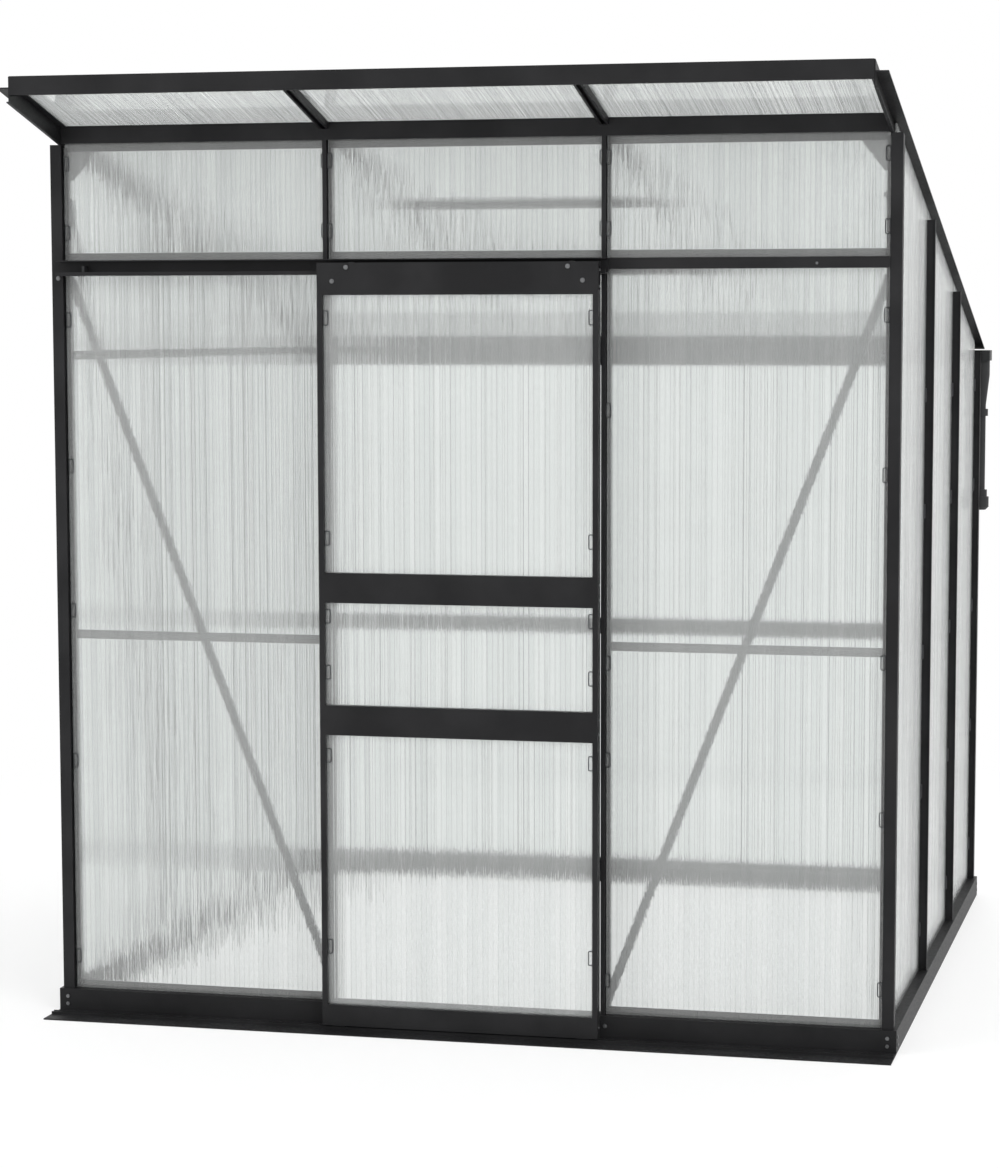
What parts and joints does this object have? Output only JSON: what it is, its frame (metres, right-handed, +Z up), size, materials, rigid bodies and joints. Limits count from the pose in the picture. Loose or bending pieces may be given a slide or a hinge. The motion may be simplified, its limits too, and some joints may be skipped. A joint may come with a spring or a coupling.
{
  "type": "pent-roof greenhouse",
  "caption": "Free-standing pent-roof greenhouse: dark aluminium frame on a base rail, twin-wall panes, sliding front door, hinged roof vent, rear gutter with a downpipe.",
  "frame": {"origin": "bottom centre of the bounding box, on the ground under the middle of the greenhouse", "axes": "+X to the right as one faces the door, +Y from the door to the rear gutter, +Z up"},
  "size_m": [1.96, 2.279, 2.1045],
  "materials": {
    "powder_coated_aluminium": "satin",
    "twinwall_polycarbonate": "satin",
    "black_plastic": "matte",
    "roller_nylon": "satin",
    "zinc_plated_steel": "satin"
  },
  "bodies": {
    "frame": {"base_rail_front": "powder_coated_aluminium", "base_rail_left": "powder_coated_aluminium", "base_rail_rear": "powder_coated_aluminium", "base_rail_right": "powder_coated_aluminium", "corner_gussets": "powder_coated_aluminium", "corner_post_front_left": "powder_coated_aluminium", "corner_post_front_right": "powder_coated_aluminium", "corner_post_rear_left": "powder_coated_aluminium", "corner_post_rear_right": "powder_coated_aluminium", "door_sill_track": "powder_coated_aluminium", "door_top_track": "powder_coated_aluminium", "door_track_stops": "black_plastic", "downpipe": "black_plastic", "downpipe_collars": "black_plastic", "downpipe_spout": "black_plastic", "end_rafter_left": "powder_coated_aluminium", "end_rafter_right": "powder_coated_aluminium", "frame_bolts": "zinc_plated_steel", "front_braces": "powder_coated_aluminium", "front_mid_rails": "powder_coated_aluminium", "front_mullions_lower": "powder_coated_aluminium", "front_mullions_upper": "powder_coated_aluminium", "front_panels": "twinwall_polycarbonate", "front_top_beam": "powder_coated_aluminium", "front_transom_rail": "powder_coated_aluminium", "gutter_end_cap_left": "black_plastic", "gutter_end_cap_right": "black_plastic", "gutter_outlet": "black_plastic", "mid_rafters": "powder_coated_aluminium", "rain_gutter": "powder_coated_aluminium", "rear_eave_beam": "powder_coated_aluminium", "rear_mid_rail": "powder_coated_aluminium", "rear_panels": "twinwall_polycarbonate", "rear_posts": "powder_coated_aluminium", "roof_fascia": "powder_coated_aluminium", "roof_panels": "twinwall_polycarbonate", "side_braces_left": "powder_coated_aluminium", "side_braces_right": "powder_coated_aluminium", "side_panels_left": "twinwall_polycarbonate", "side_panels_right": "twinwall_polycarbonate", "side_posts_left": "powder_coated_aluminium", "side_posts_right": "powder_coated_aluminium", "transom_panels": "twinwall_polycarbonate", "vent_crossbars": "powder_coated_aluminium", "vent_hinge_rod": "zinc_plated_steel", "vent_stay_peg": "zinc_plated_steel"},
    "door": {"door_bottom_guides": "black_plastic", "door_bottom_rail": "powder_coated_aluminium", "door_header": "powder_coated_aluminium", "door_mid_rails": "powder_coated_aluminium", "door_panels": "twinwall_polycarbonate", "door_roller_axles": "zinc_plated_steel", "door_stile_left": "powder_coated_aluminium", "door_stile_right": "powder_coated_aluminium"},
    "door_roller_left": {"door_roller_left": "roller_nylon"},
    "door_roller_right": {"door_roller_right": "roller_nylon"},
    "vent": {"vent_frame": "powder_coated_aluminium", "vent_panel": "twinwall_polycarbonate", "vent_stay_bracket": "powder_coated_aluminium"},
    "vent_stay": {"vent_stay": "powder_coated_aluminium"}
  },
  "joints": [
    {"name": "door_slide", "type": "slide", "parent": "frame", "child": "door", "axis": [-1, 0, 0], "range_m": [0, 0.61]},
    {"name": "roller_left_turn", "type": "hinge", "parent": "door", "child": "door_roller_left", "pos_m": [-0.248, -0.866, 1.6981], "axis": [0, -1, 0], "range_deg": [0, 2800]},
    {"name": "roller_right_turn", "type": "hinge", "parent": "door", "child": "door_roller_right", "pos_m": [0.248, -0.866, 1.6981], "axis": [0, -1, 0], "range_deg": [0, 2800]},
    {"name": "vent_hinge", "type": "hinge", "parent": "frame", "child": "vent", "pos_m": [0, -0.23044, 1.86737], "axis": [1, 0, 0], "range_deg": [0, 40]},
    {"name": "vent_stay_pivot", "type": "hinge", "parent": "vent", "child": "vent_stay", "pos_m": [0, 0.32922, 1.70648], "axis": [1, 0, 0], "range_deg": [0, 60]}
  ],
  "couplings": [
    {"joint": "roller_left_turn", "follows": "door_slide", "rad_per_m": 80},
    {"joint": "roller_right_turn", "follows": "door_slide", "rad_per_m": 80}
  ]
}
